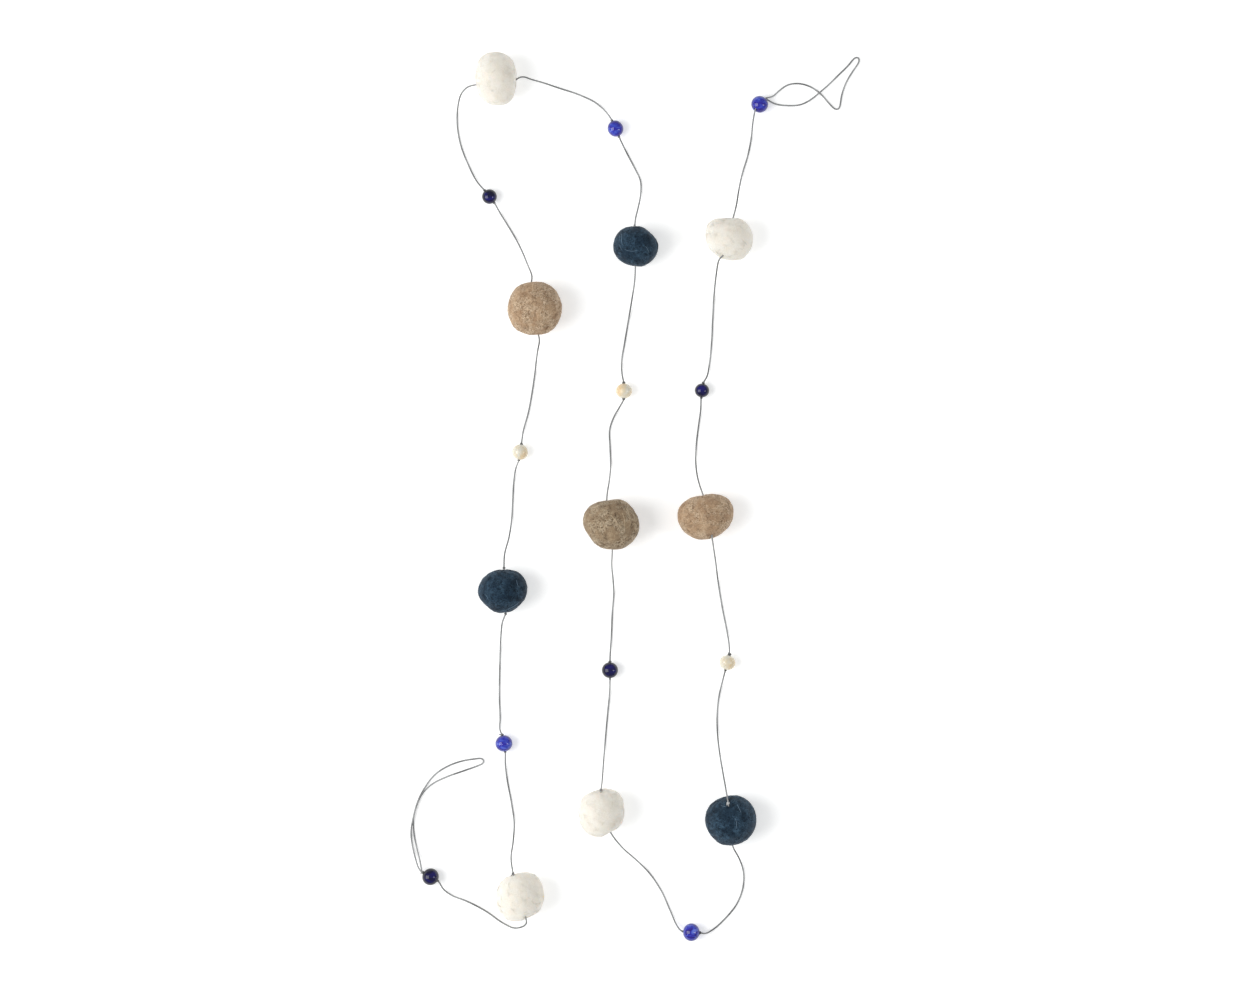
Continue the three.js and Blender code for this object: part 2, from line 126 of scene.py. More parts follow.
# Each ball: its felt, its middle from above, its size, how far it is turned, and the bearing and
# rise of the holes where the cord enters and leaves. Knots give the size of the knot at a hole, and
# tails the bearing and length of that knot's cut end. A lump is a bearing, a rise, a height and a
# spread, a nick the two ends of a groove, and a stray three places that a long pale fibre runs by.
# One ball flags its knot for the cord material painted lighter, as painted light on a knot lit from
# above.
BALLS = [
    {
        "felt": "white", "at": (77.4, 149.2), "size": (27.6, 24.4, 25.0), "turn": 0,
        "enter": (80, 5), "leave": (247, 25), "knots": {},
        "lumps": [(138, 0, 2.1, 26), (212, 0, -1.0, 32), (56, 10, 0.9, 28), (303, 0, 0.8, 20)],
        "nicks": [((351, 52), (344, 38))],
    },
    {
        "felt": "tan", "at": (63.3, -11.0), "size": (32.6, 26.4, 27.6), "turn": 15,
        "enter": (95, 0), "leave": (289, 26), "knots": {},
        "lumps": [(36, 0, 1.1, 26), (97, 0, -0.8, 22), (160, 8, 0.8, 22), (212, 0, -1.0, 26)],
        "nicks": [((47, 42), (30, 33)), ((92, 69), (6, 78)), ((295, 60), (318, 54)),
                  ((280, 36), (292, 36))],
        "strays": [((45, 60), (32, 62), (37, 49)), ((189, 53), (209, 60), (231, 57)),
                   ((329, 74), (338, 60), (327, 50)), ((139, 73), (198, 82), (250, 74))],
    },
    {
        "felt": "navy", "at": (78.3, -186.3), "size": (29.4, 28.8, 28.0), "turn": 0,
        "enter": (100, 44), "leave": (272, -22),
        "knots": {"enter": 1.15}, "tails": {"enter": (228, 1.5)}, "knot_painted_light": True,
        "lumps": [(52, 0, 0.5, 28), (103, 0, -0.5, 20), (160, 0, 0.4, 18), (250, 5, 0.5, 18)],
        "nicks": [((97, 46), (80, 42)), ((100, 50), (104, 38))],
        "strays": [((123, 40), (114, 56), (89, 42)), ((72, 43), (60, 53), (41, 58)),
                   ((46, 78), (346, 76), (305, 70))],
    },
    {
        "felt": "white", "at": (3.4, -181.8), "size": (26.8, 28.2, 26.8), "turn": 0,
        "enter": (295, 5), "leave": (91, 24), "knots": {"leave": 1.1},
        "lumps": [(47, 0, 1.3, 26), (108, 0, -1.3, 22), (238, 0, 0.9, 25), (298, 0, -1.3, 20)],
        "nicks": [((354, 47), (357, 36)), ((98, 24), (120, 22))],
    },
    {
        "felt": "brown", "at": (9.0, -15.6), "size": (33.2, 29.2, 29.4), "turn": -15,
        "enter": (273, 0), "leave": (100, 0), "knots": {},
        "lumps": [(58, 5, 1.1, 22), (106, 0, -0.8, 20), (205, 0, -1.2, 26), (327, 20, -0.5, 25)],
        "nicks": [((32, 66), (18, 62)), ((60, 62), (46, 58)), ((99, 63), (80, 65)),
                  ((327, 76), (318, 70))],
        "strays": [((162, 71), (199, 76), (236, 68)), ((160, 66), (187, 66), (213, 62)),
                   ((169, 44), (160, 57), (171, 68)), ((49, 50), (10, 56), (327, 54)),
                   ((48, 32), (13, 42), (341, 44)), ((95, 66), (48, 76), (345, 68))],
    },
    {
        "felt": "navy", "at": (23.3, 145.0), "size": (26.0, 23.8, 24.4), "turn": 0,
        "enter": (269, 0), "leave": (93, 5), "knots": {"leave": 0.8},
        "lumps": [(38, 0, -1.0, 24), (128, 0, 0.4, 25), (243, 0, -0.5, 28)],
        "nicks": [((345, 52), (330, 42))],
        "strays": [((136, 25), (156, 33), (204, 48)), ((196, 56), (232, 66), (296, 76)),
                   ((357, 64), (342, 54), (330, 40)), ((138, 30), (150, 42), (180, 52))],
    },
    {
        "felt": "white", "at": (-57.5, 241.9), "size": (24.0, 30.6, 26.4), "turn": 0,
        "enter": (358, 0), "leave": (197, 0), "knots": {},
        "lumps": [(125, 0, 1.2, 24), (50, 0, 0.6, 24), (304, 0, 1.3, 25), (236, 0, 0.6, 18)],
    },
    {
        "felt": "tan", "at": (-35.0, 109.1), "size": (31.2, 31.0, 30.2), "turn": 0,
        "enter": (97, 0), "leave": (278, 0), "knots": {},
        "lumps": [(49, 0, 0.5, 22), (128, 0, 0.5, 22), (225, 0, 0.5, 22), (312, 0, 0.5, 22)],
        "nicks": [((155, 53), (150, 51)), ((125, 46), (100, 49)), ((80, 50), (60, 45)),
                  ((44, 50), (36, 44)), ((284, 80), (284, 68)), ((333, 60), (328, 54))],
        "strays": [((94, 26), (96, 46), (92, 64)), ((167, 38), (174, 52), (181, 44)),
                   ((336, 76), (318, 70), (299, 64)), ((350, 70), (333, 64), (313, 58)),
                   ((284, 66), (286, 52), (293, 35))],
    },
    {
        "felt": "navy", "at": (-53.7, -54.2), "size": (28.8, 25.6, 26.0), "turn": 0,
        "enter": (86, 0), "leave": (279, 0), "knots": {"enter": 1.05, "leave": 1.05},
        "lumps": [(48, 0, 1.1, 28), (223, 0, -1.3, 24), (325, 0, -0.9, 26), (155, 0, -0.4, 25)],
        "strays": [((285, 34), (305, 35), (328, 32)), ((39, 38), (27, 46), (12, 43)),
                   ((188, 40), (194, 52), (212, 46))],
    },
    {
        "felt": "white", "at": (-43.5, -231.0), "size": (28.0, 28.2, 27.2), "turn": 0,
        "enter": (106, 8), "leave": (287, 32),
        "knots": {"enter": 1.1}, "tails": {"enter": (226, 1.5)},
        "lumps": [(55, 0, 1.7, 28), (294, 0, -1.9, 22), (228, 0, 0.6, 25), (335, 10, -0.4, 25)],
        "nicks": [((12, 67), (8, 62)), ((352, 57), (344, 52)), ((340, 41), (334, 36)),
                  ((290, 52), (302, 50)), ((292, 45), (303, 42))],
    },
]

# Each bead: its glass, its middle from above, its thickness, its length along the hole, and the
# bearing and rise that the hole runs along
BEADS = [
    {
        "glass": "cobalt", "at": (95.1, 227.7), "thick": 9.9, "long": 9.5, "run": (229, 33),
        "knots": {"enter": 1.15},
    },
    {
        "glass": "ink", "at": (61.7, 62.0), "thick": 8.4, "long": 7.9, "run": (263, 0),
        "knots": {"enter": 1.15, "leave": 1.0},
    },
    {
        "glass": "cream", "at": (76.4, -95.6), "thick": 9.2, "long": 8.4, "run": (255, 0),
        "knots": {"enter": 1.4, "leave": 0.95},
    },
    {
        "glass": "cobalt", "at": (55.5, -251.7), "thick": 10.4, "long": 9.5, "run": (177, 0),
        "knots": {"enter": 1.1, "leave": 0.8}, "tails": {"enter": (248, 1.1)},
    },
    {
        "glass": "ink", "at": (8.4, -100.0), "thick": 9.4, "long": 9.1, "run": (90, 0),
        "knots": {"enter": 0.8, "leave": 1.15},
    },
    {
        "glass": "cream", "at": (16.5, 61.7), "thick": 9.3, "long": 8.6, "run": (91, 0),
        "knots": {"enter": 1.15, "leave": 1.2},
    },
    {
        "glass": "cobalt", "at": (11.6, 213.7), "thick": 9.0, "long": 9.4, "run": (113, 0),
        "knots": {"enter": 0.95, "leave": 0.95},
    },
    {
        "glass": "ink", "at": (-61.4, 174.3), "thick": 8.6, "long": 8.4, "run": (308, 0),
        "knots": {"enter": 1.0, "leave": 1.0},
    },
    {
        "glass": "cream", "at": (-43.6, 26.3), "thick": 9.2, "long": 8.9, "run": (261, 0),
        "knots": {"enter": 1.1, "leave": 1.05},
    },
    {
        "glass": "cobalt", "at": (-53.0, -142.4), "thick": 9.9, "long": 9.4, "run": (279, 0),
        "knots": {"enter": 1.15, "leave": 0.95}, "tails": {"enter": (176, 1.5)},
    },
    {
        "glass": "ink", "at": (-95.5, -219.6), "thick": 10.0, "long": 9.4, "run": (152, 0),
        "knots": {"enter": 0.9, "leave": 1.25}, "tails": {"leave": (196, 1.3)},
    },
]

# Places (x, y, height) on the cord's middle line: the free stretches between one threaded piece and
# the next, and the two end loops, which start and end at their knots
STRETCHES = [
    [
        (92, 222.4, 6.6), (91.2, 217.6, 4.2), (90.3, 208.5, 0.9), (88.4, 198.6, 0.6),
        (85.2, 188, 0.9), (83, 177.8, 4.6), (81.3, 168, 10.4),
    ],
    [
        (72.1, 138.3, 17), (71.1, 136.6, 15.4), (70.5, 133.9, 12.9), (69.9, 129.4, 8.6),
        (68.9, 119.5, 2), (68, 104, 0.6), (67.4, 90.8, 0.6), (66, 77, 0.7), (64.5, 69.8, 2.8),
    ],
    [
        (61, 51, 1.8), (60, 43.5, 0.6), (58.5, 31, 0.6), (58.1, 21, 2.4), (58.9, 12.8, 7),
        (60.6, 6, 11.4),
    ],
    [
        (67.3, -23.5, 18.7), (67.7, -25.7, 16), (68.4, -30, 11.2), (69.6, -37.5, 5.8),
        (71.1, -49, 1.2), (73.6, -64.4, 0.6), (76.2, -77.5, 0.7), (77.5, -86, 2.6),
    ],
    [
        (73.6, -106.5, 1.8), (71.6, -115.2, 0.6), (70.5, -127, 0.6), (70.9, -139, 1.7),
        (72.1, -149.2, 5.6), (73.8, -159.6, 12), (75.3, -168.4, 18.2),
    ],
    [
        (79.9, -203, 6.2), (83, -208.6, 2.8), (85.7, -216.4, 0.8), (85.6, -225.6, 0.6),
        (82, -235.5, 0.6), (75, -244.3, 0.6), (67.6, -250.8, 1.3), (63.4, -252.7, 3.4),
    ],
    [
        (49.5, -250.9, 4.4), (47.3, -248.2, 2.6), (43.6, -240.2, 0.7), (38.2, -228.2, 0.6),
        (31, -217.5, 0.6), (23.3, -209.7, 3.2), (16.2, -203.1, 8.8),
    ],
    [
        (3.7, -165.6, 16.4), (4.3, -158.6, 9), (5, -149, 2), (5.9, -138, 0.6), (7, -125.5, 0.6),
        (8.2, -112.8, 1.2),
    ],
    [
        (8.6, -89.4, 2), (9.2, -81, 0.6), (9.8, -66, 0.6), (10.6, -55.5, 0.8), (10.2, -48, 3.6),
        (9.4, -38.4, 10.4),
    ],
    [
        (6.9, 2.6, 12), (8, 9.5, 6.2), (8.8, 18.5, 1.2), (8.4, 30, 0.6), (8.3, 40, 0.6),
        (10.8, 47, 0.7), (14.4, 53.2, 2.6),
    ],
    [
        (15.4, 71.6, 2.4), (15.1, 78, 0.6), (16.9, 89.7, 0.6), (19.3, 104, 0.8), (21.2, 115.4, 4),
        (22.8, 126.6, 10.4),
    ],
    [
        (23.3, 161.6, 11), (24.8, 168, 5.6), (26.2, 176, 1), (26.1, 183.6, 0.6),
        (22.8, 190.8, 0.6), (17.8, 200.4, 0.9),
    ],
    [
        (6, 223.6, 1.8), (0.6, 228.5, 0.6), (-9.8, 233.6, 0.6), (-21.4, 237.4, 1.2),
        (-30.4, 240.2, 4.8), (-37.4, 241.8, 9.6), (-41.6, 243, 12), (-44, 242.6, 12.9),
    ],
    [
        (-73, 237.6, 11.4), (-77.4, 234, 7.4), (-79.6, 227.4, 2.8), (-80.2, 217.6, 0.6),
        (-78.4, 205.4, 0.6), (-73.8, 193, 0.6), (-68.2, 182.4, 1.7),
    ],
    [
        (-55.6, 165.4, 1.6), (-51, 158, 0.6), (-46, 149.6, 1.1), (-42, 141.5, 5.2),
        (-38.7, 133.4, 10.6), (-37.3, 130.2, 12.8), (-36.5, 127.2, 14.3),
    ],
    [
        (-32.4, 92.2, 14.2), (-32.4, 89.8, 12.6), (-33.2, 86, 9.4), (-34, 81.4, 5.8),
        (-35, 73.2, 1.2), (-36.6, 62, 0.6), (-39, 49, 0.6), (-41.9, 38.4, 1.4),
    ],
    [
        (-46.2, 17, 2.2), (-47.3, 10, 0.6), (-48, -2, 0.6), (-48.6, -12.6, 1), (-50, -22.8, 4.6),
        (-52.6, -33.6, 10.6),
    ],
    [
        (-53.6, -71.4, 10.2), (-54.6, -78, 5), (-55.2, -88, 0.8), (-55.6, -103, 0.6),
        (-55.7, -117, 0.6), (-55.3, -128, 0.8), (-55.2, -135.4, 2.6),
    ],
    [
        (-52.3, -154, 1.8), (-51.4, -162.4, 0.6), (-48.8, -176.6, 0.6), (-47.1, -189, 1.4),
        (-47.6, -199, 6), (-48.7, -209, 12.4),
    ],
    [
        (-39.7, -244.4, 18.6), (-40.4, -246.6, 13.4), (-42.4, -248.3, 8.2), (-47.4, -249.4, 3.5),
        (-53.4, -246.9, 0.8), (-63.4, -240, 0.6), (-75.4, -233.8, 0.6), (-83.6, -230.6, 0.7),
        (-88.2, -227, 2),
    ],
]
FIRST_LOOP = [
    (99.1, 231.6, 2.6), (102.6, 232.4, 1.7), (106.4, 235.8, 0.7), (111.4, 239.2, 0.6),
    (117.6, 240, 0.6), (124, 238.4, 0.6), (130, 234.5, 0.6), (136, 227.9, 0.6),
    (138.5, 225.4, 0.6), (139.4, 224.8, 0.6), (140.4, 224.8, 0.6), (141.2, 225.4, 0.6),
    (141.6, 226.5, 0.6), (142.6, 232.6, 0.6), (145.2, 240.4, 0.6), (149.6, 247.8, 0.6),
    (152.7, 252.5, 0.6), (153.1, 253.8, 0.6), (152.4, 255.2, 0.6), (151, 255.4, 0.6),
    (150, 254.7, 0.6), (147.4, 251.5, 0.6), (140, 244.1, 0.6), (135, 239.2, 1.2),
    (130, 234.8, 1.9), (125, 230.8, 1.2), (119.4, 227.9, 0.6), (111.4, 227.2, 0.6),
    (104, 228.3, 0.6), (99.7, 230.6, 1.3),
]
LAST_LOOP = [
    (-100.7, -215.9, 5.4), (-101.8, -210, 2.6), (-103.8, -202.6, 0.8), (-105.3, -194.4, 0.6),
    (-105.5, -185.6, 0.6), (-103.4, -177.2, 0.6), (-99.4, -168.8, 0.6), (-93.4, -160.9, 0.6),
    (-84.4, -155.2, 0.6), (-75, -152.3, 0.6), (-69, -151.5, 0.6), (-66.5, -151.2, 0.6),
    (-65, -151.8, 0.6), (-64.6, -153, 0.6), (-65.3, -154.3, 0.6), (-67.6, -155.3, 0.6),
    (-77, -158.7, 0.6), (-87.6, -162.5, 0.7), (-95.4, -166.6, 1.4), (-100.6, -172, 1.9),
    (-104, -179.4, 1.9), (-106, -187, 1.9), (-107, -194.4, 0.9), (-106.3, -201.4, 0.6),
    (-104.4, -209, 1.8), (-101.9, -215.6, 3.9),
]


# Numbers and shapes

def towards(bearing, rise):
    """The unit vector along a bearing and a rise."""
    b, r = math.radians(bearing), math.radians(rise)
    return np.array([math.cos(b) * math.cos(r), math.sin(b) * math.cos(r), math.sin(r)])


def unit(v):
    """Vectors brought to length 1."""
    return v / np.maximum(np.linalg.norm(v, axis=-1, keepdims=True), 1e-12)


def gradient_noise(points, seed):
    """Smooth noise of about -0.7 to 0.7, with one bump to each unit of length."""
    rng = np.random.default_rng(seed)
    order = np.concatenate([rng.permutation(256)] * 2)
    slopes = unit(rng.normal(size=(256, 3)))
    cell = np.floor(points).astype(int)
    local = points - cell
    cell &= 255
    ease = local ** 3 * (local * (local * 6 - 15) + 10)
    total = np.zeros(len(points))
    for corner in np.ndindex(2, 2, 2):
        c = np.array(corner)
        x, y, z = ((cell + c) & 255).T
        slope = slopes[order[order[order[x] + y] + z]]
        share = np.prod(np.where(c == 1, ease, 1 - ease), axis=1)
        total += share * np.einsum("ij,ij->i", slope, local - c)
    return total


def felt_reach(ball, ways):
    """How far the plain shape of a ball reaches from its middle along unit vectors."""
    turn = math.radians(-ball["turn"])
    c, s = math.cos(turn), math.sin(turn)
    x = ways[:, 0] * c - ways[:, 1] * s
    y = ways[:, 0] * s + ways[:, 1] * c
    local = np.stack([x, y, ways[:, 2]], 1) / (np.array(ball["size"]) / 2)
    reach = 1 / np.linalg.norm(local, axis=1)
    for bearing, rise, by, spread in ball["lumps"]:
        away = np.degrees(np.arccos(np.clip(ways @ towards(bearing, rise), -1, 1)))
        reach = reach + by * np.exp(-((away / spread) ** 2))
    return reach


def place_ball(ball):
    """A ball's table row with its middle and the places where the cord enters and leaves."""
    middle = np.array([*ball["at"], ball["size"][2] / 2 - BALL_FLAT])
    ends = []
    for end in (ball["enter"], ball["leave"]):
        way = towards(*end)
        ends.append(middle + way * felt_reach(ball, way[None])[0])
    return {**ball, "middle": middle, "enters": ends[0], "leaves": ends[1]}


def place_bead(bead):
    """A bead's table row with its middle and the two ends of its hole."""
    middle = np.array([*bead["at"], bead["thick"] / 2 - BEAD_FLAT])
    half = towards(*bead["run"]) * bead["long"] / 2
    return {**bead, "middle": middle, "enters": middle - half, "leaves": middle + half}


def knot_place(piece, end):
    """Where the knot at one end of a threaded piece sits, just clear of it."""
    way = unit(piece["leaves"] - piece["enters"])
    out = KNOT_LONG / 2 + KNOT_CLEAR
    return piece["enters"] - way * out if end == "enter" else piece["leaves"] + way * out


def smooth_route(places):
    """Points an even step apart along a smooth curve through the given places."""
    p = np.array([np.array(place, float) for place in places])
    gap = np.maximum(np.linalg.norm(np.diff(p, axis=0), axis=1), 1e-6)
    slope = np.diff(p, axis=0) / gap[:, None]
    tangent = np.empty_like(p)
    before, after = gap[:-1, None], gap[1:, None]
    tangent[1:-1] = (slope[:-1] * after + slope[1:] * before) / (before + after)
    tangent[0], tangent[-1] = slope[0], slope[-1]
    pieces = []
    for i, long in enumerate(gap):
        t = np.linspace(0, 1, max(4, int(long / 0.1)), endpoint=False)[:, None]
        pieces.append(
            (2 * t ** 3 - 3 * t ** 2 + 1) * p[i] + (t ** 3 - 2 * t ** 2 + t) * long * tangent[i]
            + (3 * t ** 2 - 2 * t ** 3) * p[i + 1] + (t ** 3 - t ** 2) * long * tangent[i + 1]
        )
    fine = np.vstack([*pieces, p[-1:]])
    along = np.concatenate([[0], np.cumsum(np.linalg.norm(np.diff(fine, axis=0), axis=1))])
    even = np.linspace(0, along[-1], int(round(along[-1] / CORD_STEP)) + 1)
    return np.stack([np.interp(even, along, fine[:, k]) for k in range(3)], 1)


def frames_along(points):
    """Two directions square to a route at each of its points, without needless twist."""
    tangent = unit(np.gradient(points, axis=0))
    side = np.empty_like(points)
    side[0] = unit(np.cross(tangent[0], [0.31, 0.17, 0.94]))
    for i in range(1, len(points)):
        carried = side[i - 1] - tangent[i] * (side[i - 1] @ tangent[i])
        side[i] = carried / np.linalg.norm(carried)
    return side, np.cross(tangent, side)


def ring_faces(count, sides, closed=False, start=0):
    """The four-sided faces between rings of corners, and two end caps if the tube is open."""
    i = np.arange(count if closed else count - 1)[:, None]
    j = np.arange(sides)[None]
    a, b = i * sides + j, i * sides + (j + 1) % sides
    c, d = (i + 1) % count * sides + (j + 1) % sides, (i + 1) % count * sides + j
    faces = (np.stack([a, b, c, d], -1).reshape(-1, 4) + start).tolist()
    if not closed:
        faces.append((np.arange(sides)[::-1] + start).tolist())
        faces.append((np.arange(sides) + (count - 1) * sides + start).tolist())
    return faces


def plied_tube(points, thick, turns, closed=False, start=0):
    """A twisted cord along a route: its corners and faces. A closed one meets its own start."""
    side, up = frames_along(points)
    count, sides = len(points), PLIES * len(PLY_SECTION)
    angle = 2 * math.pi * np.arange(sides) / sides
    radius = np.tile(PLY_SECTION, PLIES) * thick / 2
    twist = 2 * math.pi * turns * np.arange(count) / (count if closed else count - 1)
    if closed:
        seam = unit(points[0] - points[-1])
        end = side[-1] - seam * (side[-1] @ seam)
        slip = math.atan2(end @ up[0], end @ side[0])
        twist = twist - slip * np.arange(count) / count
    a = angle[None] + twist[:, None]
    corners = (
        points[:, None]
        + side[:, None] * (np.cos(a) * radius)[..., None]
        + up[:, None] * (np.sin(a) * radius)[..., None]
    )
    return corners.reshape(-1, 3), ring_faces(count, sides, closed, start)


def fibres(lines, radii):
    """Many thin three-sided tapering strands: lines is (strand, point, xyz)."""
    n, k, _ = lines.shape
    tangent = unit(np.gradient(lines, axis=1))
    side = unit(np.cross(tangent, unit(np.array([0.37, 0.61, 0.70]))))
    up = np.cross(tangent, side)
    angle = 2 * math.pi * np.arange(3) / 3
    r = np.asarray(radii)[None, :, None, None]
    corners = (
        lines[:, :, None]
        + side[:, :, None] * np.cos(angle)[:, None] * r
        + up[:, :, None] * np.sin(angle)[:, None] * r
    ).reshape(-1, 3)
    one = ring_faces(k, 3)
    quads = np.array(one[:-2])
    caps = np.array(one[-2:])
    offset = (np.arange(n) * k * 3)[:, None, None]
    faces = (quads + offset).reshape(-1, 4).tolist()
    faces += (caps + offset).reshape(-1, 3).tolist()
    return corners, faces


def fine_sphere(cuts):
    """An icosahedron with each edge cut into equal parts, as unit vectors and faces."""
    bm = bmesh.new()
    bmesh.ops.create_icosphere(bm, subdivisions=1, radius=1.0)
    bm.verts.ensure_lookup_table()
    base = np.array([v.co for v in bm.verts])
    triangles = [[v.index for v in f.verts] for f in bm.faces]
    bm.free()
    number, ways, faces = {}, [], []

    def corner(shares):
        key = tuple(sorted((which, share) for which, share in shares if share))
        if key not in number:
            number[key] = len(ways)
            ways.append(sum(base[which] * share for which, share in key))
        return number[key]

    for a, b, c in triangles:
        at = {
            (i, j): corner([(a, cuts - i - j), (b, i), (c, j)])
            for i in range(cuts + 1) for j in range(cuts + 1 - i)
        }
        for i in range(cuts):
            for j in range(cuts - i):
                faces.append([at[i, j], at[i + 1, j], at[i, j + 1]])
                if i + j < cuts - 1:
                    faces.append([at[i + 1, j], at[i + 1, j + 1], at[i, j + 1]])
    return unit(np.array(ways)), faces


def new_piece(name, corners, faces, materials, slots=None):
    """A mesh piece from corners in millimetres, riding on the object's one body."""
    mesh = bpy.data.meshes.new(name)
    mesh.from_pydata((np.asarray(corners) * MM).tolist(), [], faces)
    for material in materials:
        mesh.materials.append(material)
    mesh.polygons.foreach_set("use_smooth", [True] * len(mesh.polygons))
    if slots is not None:
        mesh.polygons.foreach_set("material_index", slots)
    mesh.update()
    piece = bpy.data.objects.new(name, mesh)
    bpy.context.scene.collection.objects.link(piece)
    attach(piece, "root")
    return piece


# Materials

def srgb(*levels):
    """A colour given as the 0 to 255 levels of a screen, in the linear values of the shaders."""
    def linear(level):
        return ((level / 255 + 0.055) / 1.055) ** 2.4 if level > 10 else level / 255 / 12.92

    return (*map(linear, levels), 1.0)


class Shader:
    """A material's node tree, with short calls for the nodes used here."""

    def __init__(self, name):
        self.material = bpy.data.materials.new(name)
        self.material.use_nodes = True
        self.nodes, self.links = self.material.node_tree.nodes, self.material.node_tree.links
        self.surface = self.nodes["Principled BSDF"]
        self.place = self.nodes.new("ShaderNodeTexCoord").outputs["Object"]

    def feed(self, socket, value):
        """Links a socket to another one, or sets it to a constant."""
        if isinstance(value, bpy.types.NodeSocket):
            self.links.new(value, socket)
        else:
            socket.default_value = value

    def node(self, kind, values=None, **settings):
        """A new node with its settings, and its inputs by name or number."""
        node = self.nodes.new("ShaderNode" + kind)
        for key, value in settings.items():
            setattr(node, key, value)
        for key, value in (values or {}).items():
            self.feed(node.inputs[key], value)
        return node

    def noise(self, scale, detail, rough=0.6, warp=0.0, place=None):
        """A clouded field of about 0.3 to 0.7, scale clouds to a metre."""
        values = {
            "Vector": place or self.place, "Scale": scale, "Detail": detail, "Roughness": rough,
            "Distortion": warp,
        }
        return self.node("TexNoise", values).outputs["Fac"]

    def ramp(self, factor, *stops):
        """Colours or greys by a factor, from stops of (place, colour)."""
        node = self.node("ValToRGB", {"Fac": factor})
        ramp = node.color_ramp
        while len(ramp.elements) < len(stops):
            ramp.elements.new(0.5)
        for element, (at, colour) in zip(ramp.elements, stops):
            element.position = at
            element.color = colour if isinstance(colour, tuple) else (colour, colour, colour, 1)
        return node.outputs["Color"]

    def mix(self, factor, a, b):
        """Colour a turning into colour b by a factor."""
        return self.node("Mix", {0: factor, 6: a, 7: b}, data_type="RGBA").outputs[2]

    def math(self, what, *values):
        """One arithmetic operation on sockets or numbers."""
        return self.node("Math", dict(enumerate(values)), operation=what).outputs[0]

    def threads(self, scale, width, apart=0.0):
        """Thin wandering lines, as single fibres lie on felt: 1 on a line and 0 off it."""
        moved = {0: self.place, 1: (apart, apart, apart)}
        place = self.node("VectorMath", moved, operation="ADD").outputs[0]
        field = self.noise(scale, detail=1.5, rough=0.45, warp=1.2, place=place)
        off = self.math("ABSOLUTE", self.math("SUBTRACT", field, 0.5))
        return self.ramp(off, (width * 0.3, 1.0), (width, 0.0))

    def bump(self, height, distance, strength, under=None):
        """A fine relief, distance metres high, on top of another one if it is given."""
        values = {"Height": height, "Distance": distance, "Strength": strength}
        if under is not None:
            values["Normal"] = under
        return self.node("Bump", values).outputs["Normal"]

    def set(self, **values):
        """Inputs of the surface shader by name; gives the material back."""
        for key, value in values.items():
            self.feed(self.surface.inputs[key.replace("_", " ")], value)
        return self.material


# Each felt: its ground tones from dark to light, its pale and dark fibres and how strongly they
# show, the colour of its long strays, how creased its surface is, the depth of its fine relief in
# metres, its gloss and sheen, and how much of the light scatters within it
FELT = {
    "white": {
        "tones": ((222, 217, 206), (230, 225, 215), (235, 231, 222)),
        "pale": (241, 239, 234), "pale_by": 0.15, "dark": (226, 221, 212), "dark_by": 0.1,
        "stray": (246, 243, 236), "rough": 0.25, "relief": 0.00005,
        "gloss": 0.15, "gloss_tint": (255, 255, 255),
        "sheen": 0.05, "sheen_tint": (255, 255, 255), "within": 0.85,
    },
    "tan": {
        "tones": ((121, 91, 65), (164, 133, 103), (198, 170, 137)),
        "pale": (222, 199, 170), "pale_by": 0.75, "dark": (84, 60, 42), "dark_by": 0.6,
        "stray": (222, 198, 166), "rough": 1.0, "relief": 0.00022,
        "gloss": 0.3, "gloss_tint": (255, 240, 220),
        "sheen": 0.15, "sheen_tint": (235, 215, 190), "within": 0.0,
    },
    "brown": {
        "tones": ((88, 68, 47), (133, 110, 84), (172, 149, 119)),
        "pale": (214, 196, 168), "pale_by": 0.7, "dark": (62, 48, 34), "dark_by": 0.65,
        "stray": (214, 192, 160), "rough": 1.0, "relief": 0.00024,
        "gloss": 0.3, "gloss_tint": (255, 240, 220),
        "sheen": 0.15, "sheen_tint": (225, 212, 190), "within": 0.0,
    },
    "navy": {
        "tones": ((4, 8, 14), (14, 25, 37), (41, 59, 76)),
        "pale": (72, 98, 118), "pale_by": 0.6, "dark": (2, 4, 8), "dark_by": 0.5,
        "stray": (106, 130, 150), "rough": 0.8, "relief": 0.00018,
        "gloss": 0.3, "gloss_tint": (150, 190, 225),
        "sheen": 0.06, "sheen_tint": (110, 150, 185), "within": 0.0,
    },
}


